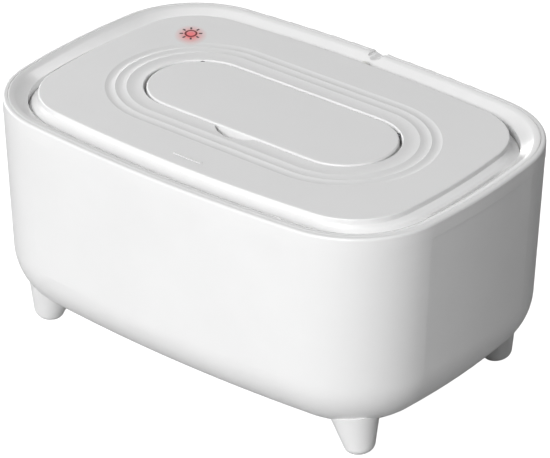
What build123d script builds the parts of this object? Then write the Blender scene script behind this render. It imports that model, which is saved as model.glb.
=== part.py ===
from build123d import *
from collections import namedtuple
import math
import os

# Baby wipe warmer, heated from its lift-off lid. Millimetres, +Z up, front towards -Y.
# The origin is under the middle of the body, at the height of the foot tips.

# ---------------------------------------------------------------- driving dimensions
# A plan is a rounded rectangle whose sides bow outward as large arcs.
Plan = namedtuple("Plan", "length width corner long_bow short_bow")
TUB_LENGTH = 235.0
TUB_WIDTH = 159.9
TUB_CORNER = 45.3
TUB_LONG_BOW = 765.0
TUB_SHORT_BOW = 353.0
PANEL_MARGIN = (15.2, 15.6)
PANEL_CORNER = 31.4
PANEL_LONG_BOW = 735.0
PANEL_SHORT_BOW = 325.0
VALLEY_MARGIN = (9.4, 10.5)
VALLEY_CORNER = 39.5
VALLEY_LONG_BOW = 745.0
VALLEY_SHORT_BOW = 330.0
FLARE_MARGIN = (10.9, 10.9)
FLARE_CORNER = 48.0

BODY_BOTTOM = 11.4
RIM_TOP = 114.0
BAND_HEIGHT = 7.0
BAND_STEP = 0.15
WALL_DRAFT = 2.05
BODY_FILLET = 28.5
TUB_WALL = 2.3
RIM_EDGE = 1.2

PARTING_GAP = 0.1
LINER_WALL = 2.0
ROLL_START = 4.4
ROLL_RADIUS = 5.0
ROLL_LIP = 0.3
VALLEY_DEPTH = 3.7
LEDGE_DEPTH = 8.5
WELL_INSET = 16.0
WELL_DRAFT = 1.2
WELL_FLOOR = 24.0
WELL_FILLET = 14.0

NOTCH_RADIUS = 4.5
NOTCH_DEPTH = 1.9
NOTCH_LIP = 1.2
NOTCH_EASE = 0.45
NOTCH_LENGTH = 40.0

FOOT_INSET = (26.3, 29.55)
FOOT_SPLAY = (3.1, 0.3)
FOOT_TIP_RADIUS = 6.1
FOOT_TOP_RADIUS = 10.2
FOOT_TOP_HEIGHT = 15.4
FOOT_TIP_ROUND = 4.8
FOOT_TIP_TRIM = 0.6
FOOT_LENGTH = 20.0
FOOT_SPIGOT_RADIUS = 5.6
FOOT_BOSS_TOP = 22.0
FOOT_SCREW_SEAT = 6.5
FOOT_SCREW_BITE = 5.0
POST_RADIUS = 7.5
SLIP = 0.2

LID_PROUD = 0.5
LID_WALL = 2.2
LID_SIDE = 2.5
FLARE_DEPTH = 3.8
FLARE_SAG = 0.72
LID_GAP = 0.4
LID_EDGE = 0.6
FLANGE_DEPTH = 7.4
FLANGE_THICKNESS = 2.0
GASKET_WIDTH = 2.0
GASKET_INSET = 0.2

FLAP_LENGTH = 130.0
FLAP_WIDTH = 48.0
FLAP_GAP = 1.2
FLAP_THICKNESS = 2.6
FLAP_EDGE = 0.8
FLAP_SKIRT_DEPTH = 5.0
FLAP_SKIRT_WALL = 1.8
FLAP_RIM_BEVEL = 0.5
PIVOT_INSET = 4.0
PIVOT_DEPTH = 1.3
HINGE_PIN_RADIUS = 0.8
HINGE_PIN_LENGTH = 17.0
HINGE_BARREL_RADIUS = 2.2
HINGE_BARREL_LENGTH = 12.0
HINGE_BARREL_X = 46.5
HINGE_SOCKET = 9.0
HINGE_END_GAP = 0.5
RUNNING_CLEARANCE = 0.05

FLUTE_EDGES = (1.2, 8.9, 14.0, 18.6)
FLUTE_DEPTH = 0.35
THUMB_RADIUS = 14.3
THUMB_REACH = 6.5
THUMB_DEPTH = 6.0
MARK_BAR = (16.0, 1.2, 0.4)
MARK_BAR_INSET = 7.65
INDICATOR_INSET = (24.0, 26.85)

BASE_GAP = 0.2
BASE_WALL = 1.8
TRAY_DEPTH = 15.1
BASE_FLOOR = 2.0
PAN_INSET = 2.2
PAN_WALL = 1.8
PAN_RIB = (1.2, 1.5)

PLATE_MARGIN = (20.3, 19.35)
PLATE_CORNER = 16.0
PLATE_DROP = 3.4
PLATE_THICKNESS = 1.0
PLATE_HOLE = (100.0, 34.0)
FILM_THICKNESS = 0.4
PLATE_RIB = 1.6
PLATE_CLEARANCE = 0.4
PLATE_SCREW_INSET = (16.0, 11.0)
PAD_INSET = 2.0
FILM_INSET = 6.0
FUSE = (-30.0, 34.0, 10.0, 1.8)
SENSOR = (30.0, 34.0, 7.0, 5.0)
SENSOR_HEIGHT = 1.4
POCKET_GAP = 0.5

SLOT_SIZE = (84.0, 24.0)
ORIFICE_FLANGE = (92.0, 32.0, 1.2)
ORIFICE_SLIT = (62.0, 9.0)

LID_SCREW_REACH = 21.5
LID_SCREW_INSET = 9.85
SCREW_RADIUS = 1.3
SCREW_HEAD_RADIUS = 2.6
SCREW_HEAD_HEIGHT = 1.6
SCREW_END_GAP = 1.5
BOSS_RADIUS = 3.2
PLATE_BOSS_RADIUS = 2.6

BOARD_INSET = 8.8
BOARD_GAP = 5.0
BOARD_WIDTH = 32.4
BOARD_OVERHANG = 2.9
BOARD_RISE = 2.6
BOARD_THICKNESS = 1.6
BOARD_POST_INSET = 3.5
BOARD_POST_RADIUS = 2.2
BOARD_PIN_RADIUS = 0.9
BOARD_PIN_HEIGHT = 0.6
CHIP = (-3.0, -3.0, 6.0, 5.0, 1.4)
RELAY = (7.0, -6.0, 7.0, 9.0, 4.0)
CAPACITOR = (6.0, 5.0, 2.2, 3.4)
LED_RADIUS = 2.5
LED_HEIGHT = 3.0
GUIDE_RADIUS = 6.0
GUIDE_STEM_RADIUS = 2.5
GUIDE_SKIN = 0.8
GUIDE_HEAD = 3.2
GUIDE_COLLAR = (1.2, 3.0)
LED_GAP = 0.4

GLAND_RADIUS = 2.4
GLAND_BORE = 1.7
GLAND_TILT = 20.0
GLAND_LENGTH = 9.5
GLAND_SETBACK = 5.0
GLAND_RISE = 6.6

# ---------------------------------------------------------------- sizes that follow
TUB_PLAN = Plan(TUB_LENGTH, TUB_WIDTH, TUB_CORNER, TUB_LONG_BOW, TUB_SHORT_BOW)
PANEL_PLAN = Plan(TUB_LENGTH - 2 * PANEL_MARGIN[0], TUB_WIDTH - 2 * PANEL_MARGIN[1],
                  PANEL_CORNER, PANEL_LONG_BOW, PANEL_SHORT_BOW)
VALLEY_PLAN = Plan(TUB_LENGTH - 2 * VALLEY_MARGIN[0], TUB_WIDTH - 2 * VALLEY_MARGIN[1],
                   VALLEY_CORNER, VALLEY_LONG_BOW, VALLEY_SHORT_BOW)
FLARE_PLAN = Plan(TUB_LENGTH - 2 * FLARE_MARGIN[0], TUB_WIDTH - 2 * FLARE_MARGIN[1],
                  FLARE_CORNER, VALLEY_LONG_BOW, VALLEY_SHORT_BOW)
FOOT_TIP = (TUB_LENGTH / 2 - FOOT_INSET[0], TUB_WIDTH / 2 - FOOT_INSET[1])
FOOT_TOP = (FOOT_TIP[0] - FOOT_SPLAY[0], FOOT_TIP[1] - FOOT_SPLAY[1])
LID_TOP = RIM_TOP + LID_PROUD
FLARE_Z = RIM_TOP - FLARE_DEPTH
FLANGE_BOTTOM = RIM_TOP - FLANGE_DEPTH
BASE_FLOOR_BOTTOM = LID_TOP - TRAY_DEPTH
BAND_BOTTOM = RIM_TOP - BAND_HEIGHT
VALLEY_Z = RIM_TOP - VALLEY_DEPTH
LEDGE_Z = RIM_TOP - LEDGE_DEPTH
PANEL_UNDERSIDE = LID_TOP - LID_WALL
SIDE_BOTTOM = LID_TOP - LID_SIDE
BASE_FLOOR_TOP = BASE_FLOOR_BOTTOM + BASE_FLOOR
FLAP_BOTTOM = LID_TOP - FLAP_THICKNESS
FLAP_SKIRT_BOTTOM = LID_TOP - FLAP_SKIRT_DEPTH
FLAP_SHELF = FLAP_SKIRT_BOTTOM - SLIP
PIVOT_Y = FLAP_WIDTH / 2 - PIVOT_INSET
PIVOT_Z = LID_TOP - PIVOT_DEPTH
SWING_RADIUS = math.hypot(PIVOT_INSET, FLAP_SKIRT_DEPTH - PIVOT_DEPTH) + 2 * SLIP
PLATE_SIZE = (PANEL_PLAN.length - 2 * PLATE_MARGIN[0], PANEL_PLAN.width - 2 * PLATE_MARGIN[1])
PLATE_SCREWS_AT = (PLATE_SIZE[0] / 2 - PLATE_SCREW_INSET[0], PLATE_SIZE[1] / 2 - PLATE_SCREW_INSET[1])
PLATE_BOTTOM = BASE_FLOOR_BOTTOM - PLATE_DROP
PLATE_TOP = PLATE_BOTTOM + PLATE_THICKNESS
FILM_TOP = PLATE_TOP + FILM_THICKNESS
INDICATOR = (INDICATOR_INSET[0] - PANEL_PLAN.length / 2, PANEL_PLAN.width / 2 - INDICATOR_INSET[1])
BOARD_X = (BOARD_INSET - PANEL_PLAN.length / 2, -FLAP_LENGTH / 2 - BOARD_GAP)
BOARD_Y = (INDICATOR[1] + BOARD_OVERHANG - BOARD_WIDTH, INDICATOR[1] + BOARD_OVERHANG)
BOARD_BOTTOM = BASE_FLOOR_TOP + BOARD_RISE
BOARD_TOP = BOARD_BOTTOM + BOARD_THICKNESS
THUMB_Y = -FLAP_WIDTH / 2 - THUMB_REACH + THUMB_RADIUS
THUMB_FLOOR = LID_TOP - THUMB_DEPTH


# ---------------------------------------------------------------- shape helpers
def inset(plan, distance):
    """The same plan with every side moved inward by distance."""
    return Plan(
        plan.length - 2 * distance,
        plan.width - 2 * distance,
        plan.corner - distance,
        plan.long_bow - distance,
        plan.short_bow - distance,
    )


def corner_centre(plan):
    """Centre of the corner arc that is tangent to the long and the short bowed side."""
    long_centre = Vector(0, plan.width / 2 - plan.long_bow)
    short_centre = Vector(plan.length / 2 - plan.short_bow, 0)
    long_reach = plan.long_bow - plan.corner
    short_reach = plan.short_bow - plan.corner
    span = short_centre - long_centre
    gap = span.length
    along = (long_reach**2 - short_reach**2 + gap**2) / (2 * gap)
    across = math.sqrt(long_reach**2 - along**2)
    unit = span / gap
    normal = Vector(unit.Y, -unit.X)
    return long_centre + unit * along + normal * across, long_centre, short_centre


def plan_face(plan, z):
    """Face of a bowed plan at height z, bounded by eight tangent arcs."""
    centre, long_centre, short_centre = corner_centre(plan)
    to_long = (centre - long_centre).normalized()
    to_short = (centre - short_centre).normalized()
    on_long = centre + to_long * plan.corner
    on_short = centre + to_short * plan.corner
    on_corner = centre + (to_long + to_short).normalized() * plan.corner
    side_long = Vector(0, plan.width / 2)
    side_short = Vector(plan.length / 2, 0)
    quarter = [side_long, on_long, on_corner, on_short, side_short]
    outline = quarter + [Vector(p.X, -p.Y) for p in reversed(quarter[:-1])]
    outline = outline + [Vector(-p.X, p.Y) for p in reversed(outline[1:-1])]
    outline = [Vector(p.X, p.Y, z) for p in outline]
    count = len(outline)
    edges = []
    for first in range(1, count, 2):
        points = [outline[(first + step) % count] for step in range(3)]
        edges.append(Edge.make_three_point_arc(*points))
    return Face(Wire(edges))


def prism(face, height):
    """Straight solid on a face, upward by height."""
    return extrude(face, amount=height, dir=(0, 0, 1))


def slab(plan, bottom, top):
    """Straight-sided solid of a bowed plan between two heights."""
    return prism(plan_face(plan, bottom), top - bottom)


def ruled(lower_plan, bottom, upper_plan, top):
    """Solid with straight slopes between two bowed plans."""
    return loft([plan_face(lower_plan, bottom), plan_face(upper_plan, top)], ruled=True)


def stadium(length, width, bottom, top):
    """Solid racetrack between two heights."""
    return prism(Pos(0, 0, bottom) * SlotOverall(length, width), top - bottom)


def flap_ring(offset, bottom, top):
    """Racetrack solid that stands off from the flap's edge by offset."""
    return stadium(FLAP_LENGTH + 2 * offset, FLAP_WIDTH + 2 * offset, bottom, top)


def rod(x, y, bottom, top, radius):
    """Upright cylinder between two heights."""
    return Pos(x, y, (bottom + top) / 2) * Cylinder(radius, top - bottom)


def rod_x(x, y, z, length, radius):
    """Cylinder along X about a centre point."""
    return Pos(x, y, z) * Rot(0, 90, 0) * Cylinder(radius, length)


def screw(x, y, head_bottom, tip, radius, head_radius, head_height):
    """Flat-headed screw driven upward from below."""
    head = rod(x, y, head_bottom, head_bottom + head_height, head_radius)
    shank = rod(x, y, head_bottom + head_height, tip, radius)
    return head + shank


def edges_at(solid, z, plan=None, tolerance=0.02):
    """Edges that lie level at height z, and on a plan's outline where one is given."""
    found = [e for e in solid.edges() if abs(e.bounding_box().min.Z - z) < tolerance
             and abs(e.bounding_box().max.Z - z) < tolerance]
    if plan is None:
        return found
    rim = plan_face(plan, z).outer_wire()
    return [e for e in found if rim.distance_to(e.position_at(0.5)) < 0.05]


def whole(shape):
    """The single solid of a shape."""
    solids = shape.solids()
    assert len(solids) == 1, f"{len(solids)} solids where one was meant"
    return solids[0]


# ---------------------------------------------------------------- tub
def tub_form(gap, bottom, top):
    """Outer form of the body moved inward by gap: a proud band over a drafted, rounded bowl."""
    sink = (BAND_BOTTOM - bottom) * math.tan(math.radians(WALL_DRAFT))
    plan = inset(TUB_PLAN, gap)
    bowl = ruled(inset(plan, BAND_STEP + sink), bottom, inset(plan, BAND_STEP), BAND_BOTTOM)
    bowl = fillet(edges_at(bowl, bottom), BODY_FILLET - gap)
    return bowl + slab(plan, BAND_BOTTOM, top)


def cord_notch():
    """Rounded groove across the rear rim that the lid's cord lies in."""
    centre_z = RIM_TOP - NOTCH_DEPTH + NOTCH_RADIUS
    groove = Pos(0, TUB_WIDTH / 2, centre_z) * Rot(90, 0, 0) * Cylinder(NOTCH_RADIUS, NOTCH_LENGTH)
    half = math.sqrt(NOTCH_RADIUS**2 - (NOTCH_RADIUS - NOTCH_DEPTH) ** 2)
    mouth = 2 * (half + NOTCH_LIP)
    with BuildPart() as flare:
        with BuildSketch(Plane.XZ):
            with BuildLine():
                top = RIM_TOP + 0.01
                Line((-mouth / 2, top), (mouth / 2, top))
                low = (half - NOTCH_EASE, RIM_TOP - NOTCH_LIP)
                TangentArc((mouth / 2, top), low, tangent=(-1, 0))
                Line(low, (-low[0], low[1]))
                TangentArc((-mouth / 2, top), (-low[0], low[1]), tangent=(1, 0))
            make_face()
        extrude(amount=NOTCH_LENGTH / 2, both=True)
    return groove + Pos(0, TUB_WIDTH / 2, 0) * flare.part


def foot_seats():
    """Screw axes of the four feet."""
    return [(side_x * FOOT_TIP[0], side_y * FOOT_TIP[1]) for side_y in (-1, 1) for side_x in (-1, 1)]


def make_outer_tub():
    body = tub_form(0, BODY_BOTTOM, RIM_TOP)
    body = fillet(edges_at(body, RIM_TOP), RIM_EDGE)
    hollow = tub_form(TUB_WALL, BODY_BOTTOM + TUB_WALL, RIM_TOP + 1)
    shell = body - hollow
    for x, y in foot_seats():
        boss = rod(x, y, BODY_BOTTOM + TUB_WALL, FOOT_BOSS_TOP, POST_RADIUS) & hollow
        shell = shell + boss - rod(x, y, 0, FOOT_BOSS_TOP + 1, FOOT_SPIGOT_RADIUS + SLIP)
    return whole(shell - cord_notch())


def rim_air(spread, drop):
    """Air over the rolled rim: sloping trough, seat of the lid, grown by spread and drop."""
    slope = ruled(inset(VALLEY_PLAN, -spread), VALLEY_Z - drop, inset(TUB_PLAN, ROLL_START - spread), RIM_TOP - drop)
    seat = slab(inset(VALLEY_PLAN, -spread), LEDGE_Z - drop, VALLEY_Z - drop)
    return slope + seat


def well_form(gap, bottom, fillet_radius):
    """Drafted bowl that holds the wipes, grown outward by gap."""
    plan = inset(TUB_PLAN, WELL_INSET - gap)
    sink = (LEDGE_Z - bottom) * math.tan(math.radians(WELL_DRAFT))
    bowl = ruled(inset(plan, sink), bottom, plan, LEDGE_Z)
    return fillet(edges_at(bowl, bottom), fillet_radius)


def make_inner_tub():
    skirt_gap = TUB_WALL + PARTING_GAP
    rim_plan = inset(TUB_PLAN, skirt_gap)
    lip = slab(rim_plan, BAND_BOTTOM, RIM_TOP)
    lip = fillet(edges_at(lip, RIM_TOP), ROLL_LIP)
    under = slab(inset(rim_plan, LINER_WALL), BAND_BOTTOM - 1, RIM_TOP - LINER_WALL)
    under = under - rim_air(LINER_WALL * 1.2, LINER_WALL)
    seat = slab(inset(VALLEY_PLAN, -LINER_WALL), LEDGE_Z - LINER_WALL, BAND_BOTTOM)
    rim = lip - under + seat
    outside = well_form(LINER_WALL, WELL_FLOOR - LINER_WALL, WELL_FILLET + LINER_WALL)
    cavity = well_form(0, WELL_FLOOR, WELL_FILLET)
    room = tub_form(TUB_WALL + SLIP, BODY_BOTTOM + TUB_WALL, RIM_TOP)
    liner = rim + outside
    for x, y in foot_seats():
        liner = liner + (rod(x, y, FOOT_BOSS_TOP, WELL_FLOOR + WELL_FILLET, POST_RADIUS) & room)
    liner = liner - rim_air(0, 0) - cavity
    crest = edges_at(liner, RIM_TOP, inset(TUB_PLAN, ROLL_START))
    liner = fillet(crest, ROLL_RADIUS)
    for x, y in foot_seats():
        liner = liner - rod(x, y, FOOT_BOSS_TOP - 1, WELL_FLOOR + FOOT_SCREW_BITE + 1, SCREW_RADIUS)
    return whole(liner - cord_notch())


def foot_cone(side_x, side_y):
    """Leaning cone with a rounded tip, trimmed flat at the surface it stands on."""
    tip = Vector(side_x * FOOT_TIP[0], side_y * FOOT_TIP[1], 0)
    lean = Vector(side_x * FOOT_TOP[0], side_y * FOOT_TOP[1], FOOT_TOP_HEIGHT) - tip
    growth = (FOOT_TOP_RADIUS - FOOT_TIP_RADIUS) / FOOT_TOP_HEIGHT
    root = FOOT_TIP_RADIUS + FOOT_LENGTH * growth
    profile = Polyline((0, 0), (FOOT_TIP_RADIUS, 0), (root, FOOT_LENGTH), (0, FOOT_LENGTH), close=True)
    section = make_face(profile)
    rounded = [v for v in section.vertices() if v.Y < growth and v.X > growth]
    section = Plane.XZ * fillet(rounded, FOOT_TIP_ROUND)
    cone = revolve(section, Axis.Z)
    foot = Plane(origin=tip - lean.normalized() * FOOT_TIP_TRIM, z_dir=lean) * cone
    return foot - Pos(tip.X, tip.Y, -FOOT_LENGTH / 2) * Cylinder(FOOT_LENGTH, FOOT_LENGTH)


def make_foot(side_x, side_y):
    """Foot with a spigot into the body, a recess for its screw and the screw's hole."""
    cone = foot_cone(side_x, side_y) - tub_form(0, BODY_BOTTOM, RIM_TOP)
    x = side_x * FOOT_TIP[0]
    y = side_y * FOOT_TIP[1]
    spigot = rod(x, y, BODY_BOTTOM - 3, FOOT_BOSS_TOP, FOOT_SPIGOT_RADIUS)
    recess = rod(x, y, -1, FOOT_SCREW_SEAT, SCREW_HEAD_RADIUS + SLIP)
    shaft = rod(x, y, 0, FOOT_BOSS_TOP + 1, SCREW_RADIUS + SLIP)
    return whole(cone + spigot - recess - shaft)


def make_foot_plugs():
    """Soft plugs that close the screw recesses and finish the rounded tips."""
    top = FOOT_SCREW_SEAT - SCREW_HEAD_HEIGHT - SLIP
    plugs = []
    for side_y in (-1, 1):
        for side_x in (-1, 1):
            core = rod(side_x * FOOT_TIP[0], side_y * FOOT_TIP[1], -1, top, SCREW_HEAD_RADIUS + SLIP)
            plugs.append(whole(foot_cone(side_x, side_y) & core))
    return Compound(plugs)


def make_foot_screws():
    tip = WELL_FLOOR + FOOT_SCREW_BITE
    screws = []
    for x, y in foot_seats():
        bottom = FOOT_SCREW_SEAT - SCREW_HEAD_HEIGHT
        screws.append(screw(x, y, bottom, tip, SCREW_RADIUS, SCREW_HEAD_RADIUS, SCREW_HEAD_HEIGHT))
    return Compound(screws)


# ---------------------------------------------------------------- lid
def racetrack_groove(inner, outer, depth):
    """Shallow concave flute round the flap, between two distances from its edge."""
    width = outer - inner
    radius = width**2 / (8 * depth) + depth / 2
    middle = FLAP_WIDTH / 2 + (inner + outer) / 2
    straight = FLAP_LENGTH - FLAP_WIDTH
    section = Circle(radius) & Pos(0, -radius + depth) * Rectangle(2 * width, 2 * depth)
    lift = LID_TOP - depth + radius
    pieces = []
    for side in (1, -1):
        lens = Plane.YZ * Pos(side * middle, lift) * section
        pieces.append(Pos(-straight / 2, 0, 0) * extrude(lens, amount=straight, dir=(1, 0, 0)))
        end = Plane.YZ * Pos(-middle, lift) * section
        bend = revolve(end, Axis.Z, revolution_arc=180)
        turn = 0 if side > 0 else 180
        pieces.append(Pos(side * straight / 2, 0, 0) * Rot(0, 0, turn) * bend)
    groove = pieces[0]
    for piece in pieces[1:]:
        groove = groove + piece
    return groove


def lid_screw_points():
    """Six screw axes: one near each corner and one at the middle of each long side."""
    centre = corner_centre(PANEL_PLAN)[0]
    reach = LID_SCREW_REACH / math.sqrt(2)
    corner = (centre.X + reach, centre.Y + reach)
    points = [(sx * corner[0], sy * corner[1]) for sx in (-1, 1) for sy in (-1, 1)]
    middle_y = PANEL_PLAN.width / 2 - LID_SCREW_INSET
    return points + [(0, -middle_y), (0, middle_y)]


def gland_axis():
    """Line of the cord's way out of the lid: through the rear side, tilted up to the notch."""
    start = Vector(0, PANEL_PLAN.width / 2 - GLAND_SETBACK, BASE_FLOOR_TOP + GLAND_RISE)
    return Plane(origin=start, x_dir=(1, 0, 0),
                 z_dir=(0, math.cos(math.radians(GLAND_TILT)), math.sin(math.radians(GLAND_TILT))))


def gland_hole(radius):
    """Clear hole for the bush through the lid's side and the tray's wall."""
    return gland_axis() * Pos(0, 0, GLAND_LENGTH / 2) * Cylinder(radius, 2 * GLAND_LENGTH)


def flare(gap, drop):
    """Concave slope from the foot of the panel's side outward, and the wall below it."""
    top_plan = inset(PANEL_PLAN, gap)
    low_plan = inset(FLARE_PLAN, gap)
    middle = Plan(*[(a + b) / 2 for a, b in zip(top_plan, low_plan)])
    top = SIDE_BOTTOM - drop
    low = FLARE_Z - drop
    sag = (top - low) * FLARE_SAG
    slope = loft([plan_face(low_plan, low), plan_face(middle, top - sag), plan_face(top_plan, top)])
    return slope + slab(low_plan, FLANGE_BOTTOM - drop, low)


def bevelled_opening():
    """Air of the flap's opening through the panel, with a bevelled upper edge."""
    length = FLAP_LENGTH + 2 * FLAP_GAP
    width = FLAP_WIDTH + 2 * FLAP_GAP
    grow = 2 * FLAP_RIM_BEVEL
    lower = Pos(0, 0, LID_TOP - FLAP_RIM_BEVEL) * SlotOverall(length, width)
    upper = Pos(0, 0, LID_TOP) * SlotOverall(length + grow, width + grow)
    return flap_ring(FLAP_GAP, BASE_FLOOR_TOP, LID_TOP + 1) + loft([lower.face(), upper.face()], ruled=True)


def thumb_cup():
    """Pocket in front of the flap, with its floor and wall."""
    cup = rod(0, THUMB_Y, THUMB_FLOOR - LID_WALL, PANEL_UNDERSIDE, THUMB_RADIUS + LID_WALL)
    front = Pos(0, -FLAP_WIDTH / 2 - THUMB_RADIUS, LID_TOP) * Box(4 * THUMB_RADIUS, 2 * THUMB_RADIUS, TRAY_DEPTH)
    return (cup & front) - flap_ring(FLAP_GAP + PAN_WALL + SLIP, BASE_FLOOR_TOP, LID_TOP)


def make_lid_cover():
    panel = slab(PANEL_PLAN, SIDE_BOTTOM, LID_TOP)
    panel = fillet(edges_at(panel, LID_TOP), LID_EDGE)
    flange = slab(inset(VALLEY_PLAN, LID_GAP), FLANGE_BOTTOM, FLANGE_BOTTOM + FLANGE_THICKNESS)
    cover = panel + flare(0, 0) + flange
    cover = cover - slab(inset(PANEL_PLAN, LID_WALL), FLANGE_BOTTOM - 1, PANEL_UNDERSIDE)
    cover = cover - flare(LID_WALL, LID_WALL)
    cover = cover + thumb_cup()
    for x, y in lid_screw_points():
        cover = cover + rod(x, y, BASE_FLOOR_TOP, PANEL_UNDERSIDE, BOSS_RADIUS)
    wall, depth = GUIDE_COLLAR
    collar = rod(*INDICATOR, PANEL_UNDERSIDE - depth, PANEL_UNDERSIDE, GUIDE_RADIUS + SLIP + wall)
    cover = cover + collar
    for side in (-1, 1):
        length = HINGE_SOCKET
        x = side * (hinge_wall_x() + length / 2)
        boss = Pos(x, PIVOT_Y, PANEL_UNDERSIDE - length / 4) * Box(length, length / 1.5, length / 2)
        cover = cover + (boss - flap_ring(FLAP_GAP + PAN_WALL + SLIP, BASE_FLOOR_TOP, PANEL_UNDERSIDE))
    for x, y in lid_screw_points():
        cover = cover - rod(x, y, BASE_FLOOR_TOP - 1, PANEL_UNDERSIDE - SCREW_END_GAP, SCREW_RADIUS)
    cover = cover - rod(*INDICATOR, BASE_FLOOR_TOP, LID_TOP - GUIDE_SKIN, GUIDE_RADIUS + SLIP)
    cover = cover - bevelled_opening()
    for side in (-1, 1):
        cover = cover - hinge_socket(side, HINGE_PIN_RADIUS + RUNNING_CLEARANCE)
    cover = cover - rod(0, THUMB_Y, THUMB_FLOOR, LID_TOP + 1, THUMB_RADIUS)
    cover = cover - gland_hole(GLAND_RADIUS)
    for inner, outer in zip(FLUTE_EDGES, FLUTE_EDGES[1:]):
        cover = cover - racetrack_groove(inner, outer, FLUTE_DEPTH)
    length, width, height = MARK_BAR
    bar = Pos(0, MARK_BAR_INSET - PANEL_PLAN.width / 2, LID_TOP) * extrude(SlotOverall(length, width), amount=height)
    return whole(cover + bar)


def hinge_socket(side, radius):
    """Hole that the hinge pin turns in, from the opening outward."""
    inner = hinge_wall_x() - 4
    outer = hinge_wall_x() + HINGE_SOCKET - 1
    return rod_x(side * (inner + outer) / 2, PIVOT_Y, PIVOT_Z, outer - inner, radius)


def hinge_wall_x():
    """Half length of the flap's opening at the height of the hinge axis."""
    radius = FLAP_WIDTH / 2 + FLAP_GAP
    return (FLAP_LENGTH - FLAP_WIDTH) / 2 + math.sqrt(radius**2 - PIVOT_Y**2)


def rounded_plate(grow, bottom, top):
    """Plate-shaped solid with rounded corners, grown by a clearance."""
    length, width = PLATE_SIZE
    sketch = RectangleRounded(length + 2 * grow, width + 2 * grow, PLATE_CORNER + grow)
    return prism(Pos(0, 0, bottom) * sketch, top - bottom)


def plate_screw_points():
    x, y = PLATE_SCREWS_AT
    return [(sx * x, sy * y) for sx in (-1, 1) for sy in (-1, 1)]


def slot_tube(grow, bottom, top):
    """Racetrack about the dispensing slot, grown outward."""
    return stadium(PLATE_HOLE[0] + 2 * grow, PLATE_HOLE[1] + 2 * grow, bottom, top)


def make_lid_base():
    plan = inset(PANEL_PLAN, LID_WALL + BASE_GAP)
    top = PANEL_UNDERSIDE - SLIP
    tray = slab(plan, BASE_FLOOR_BOTTOM, top) - slab(inset(plan, BASE_WALL), BASE_FLOOR_TOP, top + 1)
    skirt = rounded_plate(PLATE_CLEARANCE + PLATE_RIB, PLATE_BOTTOM, BASE_FLOOR_BOTTOM)
    skirt = skirt - rounded_plate(PLATE_CLEARANCE, PLATE_BOTTOM - 1, BASE_FLOOR_BOTTOM + 1)
    tube = slot_tube(-PLATE_CLEARANCE, PLATE_BOTTOM, BASE_FLOOR_BOTTOM)
    rib_wall, rib_height = PAN_RIB
    rib_offset = -PAN_INSET - SLIP
    rib = flap_ring(rib_offset, BASE_FLOOR_TOP, BASE_FLOOR_TOP + rib_height)
    rib = rib - flap_ring(rib_offset - rib_wall, BASE_FLOOR_TOP, LID_TOP)
    base = tray + skirt + tube + rib
    for x, y in plate_screw_points():
        base = base + rod(x, y, PLATE_TOP, BASE_FLOOR_BOTTOM, PLATE_BOSS_RADIUS)
        base = base - rod(x, y, PLATE_TOP - 1, BASE_FLOOR_TOP + 1, SCREW_RADIUS)
    for x, y in board_posts():
        base = base + rod(x, y, BASE_FLOOR_TOP, BOARD_BOTTOM, BOARD_POST_RADIUS)
        base = base + rod(x, y, BOARD_BOTTOM, BOARD_TOP + BOARD_PIN_HEIGHT, BOARD_PIN_RADIUS)
    for x, y in lid_screw_points():
        base = base - rod(x, y, BASE_FLOOR_BOTTOM - 1, BASE_FLOOR_TOP + 1, SCREW_RADIUS + SLIP)
    base = base - stadium(*SLOT_SIZE, PLATE_BOTTOM - 1, BASE_FLOOR_TOP + 1)
    return whole(base - gland_hole(GLAND_RADIUS))


def make_dispensing_pan():
    """Racetrack wall and shelf under the flap, with room for its heel and the thumb pocket."""
    pan = flap_ring(FLAP_GAP + PAN_WALL, BASE_FLOOR_TOP, PANEL_UNDERSIDE - SLIP)
    pan = pan - flap_ring(FLAP_GAP, FLAP_SHELF, LID_TOP)
    pan = pan - flap_ring(-PAN_INSET, BASE_FLOOR_TOP - 1, LID_TOP)
    pan = pan - rod_x(0, PIVOT_Y, PIVOT_Z, 2 * hinge_wall_x(), SWING_RADIUS)
    return whole(pan - rod(0, THUMB_Y, THUMB_FLOOR, LID_TOP, THUMB_RADIUS + SLIP))


def board_posts():
    """Pins that hold the board, set in from its corners."""
    across = (BOARD_X[0] + BOARD_POST_INSET, BOARD_X[1] - BOARD_POST_INSET)
    along = (BOARD_Y[0] + BOARD_POST_INSET, BOARD_Y[1] - BOARD_POST_INSET)
    return [(x, y) for x in across for y in along]


def make_lid_gasket():
    outer = inset(VALLEY_PLAN, LID_GAP + GASKET_INSET)
    ring = slab(outer, LEDGE_Z + RUNNING_CLEARANCE, FLANGE_BOTTOM)
    return whole(ring - slab(inset(outer, GASKET_WIDTH), LEDGE_Z, FLANGE_BOTTOM + 1))


def make_lid_screws():
    tip = PANEL_UNDERSIDE - 2 * SCREW_END_GAP
    screws = []
    for x, y in lid_screw_points():
        bottom = BASE_FLOOR_BOTTOM - SCREW_HEAD_HEIGHT
        screws.append(screw(x, y, bottom, tip, SCREW_RADIUS, SCREW_HEAD_RADIUS, SCREW_HEAD_HEIGHT))
    return Compound(screws)


def make_heater_plate():
    plate = rounded_plate(0, PLATE_BOTTOM, PLATE_TOP) - slot_tube(0, PLATE_BOTTOM - 1, PLATE_TOP + 1)
    for x, y in plate_screw_points():
        plate = plate - rod(x, y, PLATE_BOTTOM - 1, PLATE_TOP + 1, SCREW_RADIUS + SLIP)
    return whole(plate)


def make_heater_film():
    film = rounded_plate(-FILM_INSET, PLATE_TOP, FILM_TOP) - slot_tube(FILM_INSET, PLATE_TOP - 1, FILM_TOP + 1)
    for x, y in plate_screw_points():
        film = film - rod(x, y, PLATE_TOP - 1, FILM_TOP + 1, BOSS_RADIUS + SLIP)
    return whole(film)


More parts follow.
